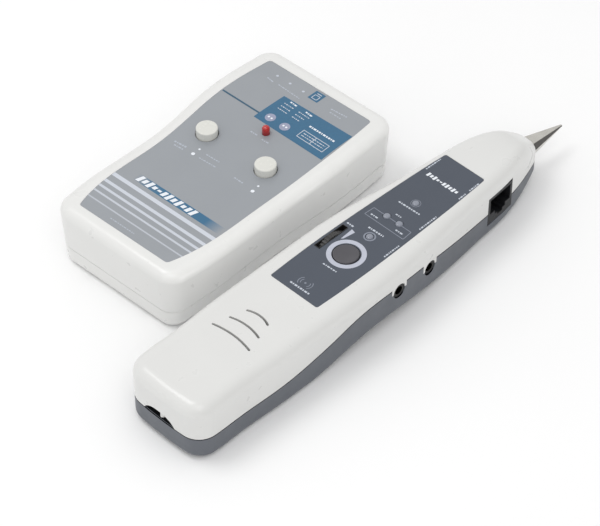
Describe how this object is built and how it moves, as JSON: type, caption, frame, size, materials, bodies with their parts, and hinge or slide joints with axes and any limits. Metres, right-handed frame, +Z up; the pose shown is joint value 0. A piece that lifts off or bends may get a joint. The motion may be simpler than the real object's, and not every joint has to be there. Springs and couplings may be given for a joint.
{
  "type": "network tone and probe kit",
  "caption": "Network tone generator box with push buttons and signal lamp, and a wand-shaped probe with metal tip, volume thumbwheel, power button and side sockets.",
  "frame": {"origin": "centre of the kit's footprint, on the surface it lies on", "axes": "+Y towards the working ends of both pieces, +Z up, +X from the toner towards the probe"},
  "size_m": [0.1178, 0.2103, 0.0309],
  "materials": {
    "case_white": "satin moulded",
    "face_label": "printed metallic grey foil",
    "cap_white": "smooth",
    "lamp_red": "clear tinted dome",
    "lamp_pale": "diffused dome",
    "slate_shell": "fine texture",
    "panel_slate": "printed film",
    "button_slate": "fine texture",
    "wheel_black": "notched rim",
    "inner_black": "moulded",
    "contact_gold": "plated",
    "bright_steel": "polished",
    "screw_steel": "zinc plated",
    "circuit_green": "solder mask",
    "battery_can": "printed can",
    "snap_black": "soft moulded",
    "lead_red": "insulation",
    "lead_black": "insulation",
    "pot_grey": "pressed",
    "speaker_paper": "pressed paper",
    "magnet_iron": "ferrite"
  },
  "bodies": {
    "toner": {"toner_upper_cover": "case_white", "toner_lower_cover": "case_white", "toner_label": "face_label", "toner_switches": "inner_black", "toner_signal_lamp": "lamp_red", "toner_lamp_legs": "screw_steel", "toner_circuit_board": "circuit_green", "toner_network_jack": "inner_black", "toner_jack_contacts": "contact_gold", "toner_battery": "battery_can", "toner_battery_snap": "snap_black", "toner_lead_red": "lead_red", "toner_lead_black": "lead_black", "toner_case_screws": "screw_steel", "toner_board_screws": "screw_steel"},
    "toner_left_button": {"toner_left_button": "cap_white", "toner_left_plunger": "inner_black"},
    "toner_right_button": {"toner_right_button": "cap_white", "toner_right_plunger": "inner_black"},
    "toner_door": {"toner_battery_door": "case_white"},
    "probe": {"probe_upper_shell": "case_white", "probe_lower_shell": "slate_shell", "probe_panel": "panel_slate", "probe_power_switch": "inner_black", "probe_lamps": "lamp_pale", "probe_network_jack": "inner_black", "probe_jack_contacts": "contact_gold", "probe_phone_jack": "inner_black", "probe_phone_contacts": "contact_gold", "probe_side_sockets": "inner_black", "probe_socket_sleeves": "bright_steel", "probe_tip": "bright_steel", "probe_tip_holder": "inner_black", "probe_tip_contact": "screw_steel", "probe_circuit_board": "circuit_green", "probe_battery": "battery_can", "probe_battery_snap": "snap_black", "probe_lead_red": "lead_red", "probe_lead_black": "lead_black", "probe_case_screws": "screw_steel", "probe_board_screws": "screw_steel", "speaker_basket": "pot_grey", "speaker_cone": "speaker_paper", "speaker_magnet": "magnet_iron", "volume_pot": "pot_grey"},
    "power_button": {"probe_power_button": "button_slate", "probe_power_plunger": "inner_black"},
    "volume_wheel": {"volume_wheel": "wheel_black", "volume_spindle": "screw_steel"},
    "probe_door": {"probe_battery_door": "slate_shell"}
  },
  "joints": [
    {"name": "toner_left_press", "type": "slide", "parent": "toner", "child": "toner_left_button", "axis": [0, 0, -1], "range_m": [0, 0.002], "stiffness_N_per_m": 600, "springref_m": -0.0005},
    {"name": "toner_right_press", "type": "slide", "parent": "toner", "child": "toner_right_button", "axis": [0, 0, -1], "range_m": [0, 0.002], "stiffness_N_per_m": 600, "springref_m": -0.0005},
    {"name": "toner_door_slide", "type": "slide", "parent": "toner", "child": "toner_door", "axis": [0, -1, 0], "range_m": [0, 0.04]},
    {"name": "probe_lift", "type": "slide", "parent": "toner", "child": "probe", "axis": [0, 0, 1], "range_m": [0, 0.08]},
    {"name": "power_press", "type": "slide", "parent": "probe", "child": "power_button", "axis": [0, 0, -1], "range_m": [0, 0.0012], "stiffness_N_per_m": 1000, "springref_m": -0.0005},
    {"name": "volume_turn", "type": "hinge", "parent": "probe", "child": "volume_wheel", "pos_m": [0.02951, -0.01028, 0.0173], "axis": [0.9993, -0.0373, 0], "range_deg": [-135, 135]},
    {"name": "probe_door_slide", "type": "slide", "parent": "probe", "child": "probe_door", "axis": [-0.0373, -0.9993, 0], "range_m": [0, 0.05]}
  ]
}
